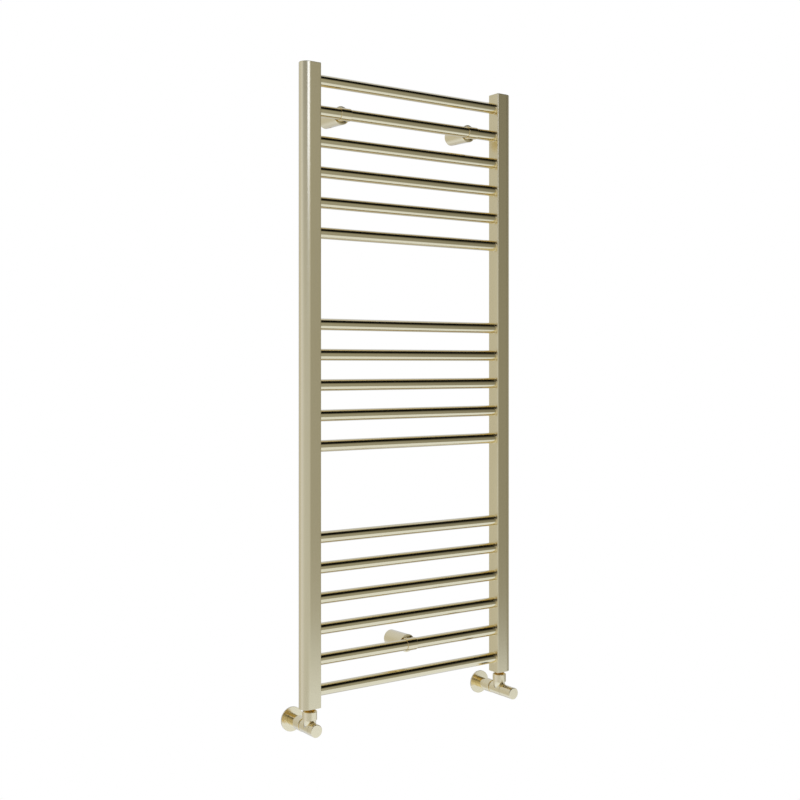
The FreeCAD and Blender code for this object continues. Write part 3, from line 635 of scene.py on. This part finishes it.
# Brightness round the horizon, by the angle from the front (-Y) towards the right (+X).
HORIZON = [
    (-180, (0.630, 0.698, 0.921)),
    (-140, (0.593, 0.627, 0.722)),
    (-106, (0.782, 0.872, 1.280)),
    (-59, (0.620, 0.687, 0.907)),
    (-20, (0.590, 0.656, 0.869)),
    (16, (0.580, 0.634, 0.818)),
    (30, (0.396, 0.424, 0.475)),
    (40, (0.276, 0.289, 0.305)),
    (62, (0.252, 0.261, 0.269)),
    (95, (0.450, 0.476, 0.562)),
    (130, (0.620, 0.677, 0.844)),
    (180, (0.630, 0.698, 0.921)),
]


ABOVE_FRONT = (0.004, 0.004, 0.004, 1.0)
ABOVE_BACK = (0.66, 0.73, 0.97, 1.0)
BACK_FROM_Y = (-0.14, 0.05)     # the sky above turns from the front's tone to the back's
HORIZON_UP_TO = (-2, 40)        # degrees up, over which the horizon gives way to the sky above
FLOOR_BACK_RIGHT = (0.52, 0.54, 0.62, 1.0)
BACK_RIGHT_FROM = ((0.0, 0.25), (-0.2, 0.4))  # Y and X over which the floor turns to that tone
FLOOR_FROM = (-20, -48)         # degrees up, over which the horizon gives way to the floor
GLOW_TONE = (0.19, 0.2, 0.2, 1.0)
GLOW_RADII = (20, 4)            # degrees from the glow's middle, where it starts and where it is full
GLOW_RIGHT = math.radians(22)   # the glow's middle, right of the front
GLOW_UP = math.radians(20)
GLOW_TOWARDS = (
    math.cos(GLOW_UP) * math.sin(GLOW_RIGHT),
    -math.cos(GLOW_UP) * math.cos(GLOW_RIGHT),
    math.sin(GLOW_UP),
)


def ramp(tree, value, stops):
    """Colour ramp through (place, colour) stops, with places from 0 to 1."""
    node = add(tree, "ShaderNodeValToRGB", {"Fac": value})
    elements = node.color_ramp.elements
    for place, _ in stops[2:]:
        elements.new(place)
    for element, (place, colour) in zip(elements, stops):
        element.position = place
        element.color = (*colour, 1.0)
    return node.outputs["Color"]


def soft_step(tree, value, start, end):
    """Smooth 0 to 1 as a value goes from start to end."""
    settings = {"Value": value, "From Min": start, "From Max": end}
    return add(tree, "ShaderNodeMapRange", settings, interpolation_type="SMOOTHSTEP").outputs["Result"]


def by_height(tree, height, degrees):
    """Smooth 0 to 1 as a direction's height goes from one angle above the horizon to another."""
    start, end = (math.sin(math.radians(angle)) for angle in degrees)
    return soft_step(tree, height, start, end)


def studio_world():
    """Soft studio by direction: the horizon's tone, dark above the front half, bright above the back.

    The floor's tone is below, and a soft glow is added beside the softbox.
    """
    world = bpy.data.worlds.new("studio")
    bpy.context.scene.world = world
    world.use_nodes = True
    tree = world.node_tree
    tree.nodes.clear()
    direction = add(tree, "ShaderNodeTexCoord").outputs["Generated"]
    part = add(tree, "ShaderNodeSeparateXYZ", {"Vector": direction}).outputs
    ahead = add(tree, "ShaderNodeMath", {0: part["Y"], 1: -1.0}, operation="MULTIPLY").outputs["Value"]
    turn = add(tree, "ShaderNodeMath", {0: part["X"], 1: ahead}, operation="ARCTAN2").outputs["Value"]
    half_turn = {"Value": turn, "From Min": -math.pi, "From Max": math.pi}
    share = add(tree, "ShaderNodeMapRange", half_turn).outputs["Result"]
    horizon = ramp(tree, share, [((angle + 180) / 360, colour) for angle, colour in HORIZON])
    behind = soft_step(tree, part["Y"], *BACK_FROM_Y)
    above = mixed(tree, behind, ABOVE_FRONT, ABOVE_BACK)
    overhead = by_height(tree, part["Z"], HORIZON_UP_TO)
    sky = mixed(tree, overhead, horizon, above)
    back = soft_step(tree, part["Y"], *BACK_RIGHT_FROM[0])
    right = soft_step(tree, part["X"], *BACK_RIGHT_FROM[1])
    back_right = add(tree, "ShaderNodeMath", {0: back, 1: right}, operation="MULTIPLY").outputs["Value"]
    floor = mixed(tree, back_right, FLOOR_TONE, FLOOR_BACK_RIGHT)
    low = by_height(tree, part["Z"], FLOOR_FROM)
    all_round = mixed(tree, low, sky, floor)
    along = {0: direction, 1: GLOW_TOWARDS}
    facing = add(tree, "ShaderNodeVectorMath", along, operation="DOT_PRODUCT").outputs["Value"]
    start, end = (math.cos(math.radians(angle)) for angle in GLOW_RADII)
    glow = soft_step(tree, facing, start, end)
    lit = mixed(tree, glow, all_round, GLOW_TONE, "ADD")
    background = add(tree, "ShaderNodeBackground", {"Color": lit, "Strength": 1.0})
    add(tree, "ShaderNodeOutputWorld", {"Surface": background.outputs["Background"]})


SOFTBOX_PLACE = (-0.33, -3.08, 2.12)  # it faces straight back, square to the wall
SOFTBOX_SIZE = (1.75, 1.4)
SOFTBOX_BRIGHTNESS = 2.7
SOFTBOX_COLOUR = (0.42, 0.51, 1.0)


def front_softbox():
    """Rectangular softbox in front of the rack; its power follows from its brightness and area."""
    data = bpy.data.lights.new("front_softbox", "AREA")
    data.shape = "RECTANGLE"
    data.size, data.size_y = SOFTBOX_SIZE
    data.energy = SOFTBOX_BRIGHTNESS * math.pi * SOFTBOX_SIZE[0] * SOFTBOX_SIZE[1]
    data.color = SOFTBOX_COLOUR
    light = bpy.data.objects.new("front_softbox", data)
    bpy.context.scene.collection.objects.link(light)
    light.location = SOFTBOX_PLACE
    light.rotation_mode = "QUATERNION"
    light.rotation_quaternion = Vector(FRONT).to_track_quat("Z", "Y")
    light.visible_camera = False


CAMERA_PLACE = (-1.3198, -1.9325, 0.5529)
CAMERA_TURN = (math.radians(90), 0, math.radians(-34.801))
CAMERA_LENS = 52.08
CAMERA_SHIFT_Y = -0.04517
CAMERA_SEES_TO = 50


def camera():
    """Level camera to the left of the rack, with a small downward shift for the framing."""
    data = bpy.data.cameras.new("camera")
    data.lens = CAMERA_LENS
    data.shift_y = CAMERA_SHIFT_Y
    data.clip_end = CAMERA_SEES_TO
    eye = bpy.data.objects.new("camera", data)
    eye.location = CAMERA_PLACE
    eye.rotation_euler = CAMERA_TURN
    bpy.context.scene.collection.objects.link(eye)
    bpy.context.scene.camera = eye


# ---------------------------------------------------------------- build
finish_cad_nodes()
for side in SIDES:
    post(side)
for node in sorted(NODES):
    if node.startswith("bar_"):
        tube(node)
for place in ("bottom", "top_left", "top_right"):
    collar(place)
    eased_copy("bracket_barrel_" + place, BARREL_EDGE_MM, BARREL_PLANES_MM, SATIN_FITTING)
for side in SIDES:
    valve(side)
lockshield_cap()
studio_cove()
floor_bounce()
studio_world()
front_softbox()
camera()
bpy.context.scene.view_settings.view_transform = "Standard"
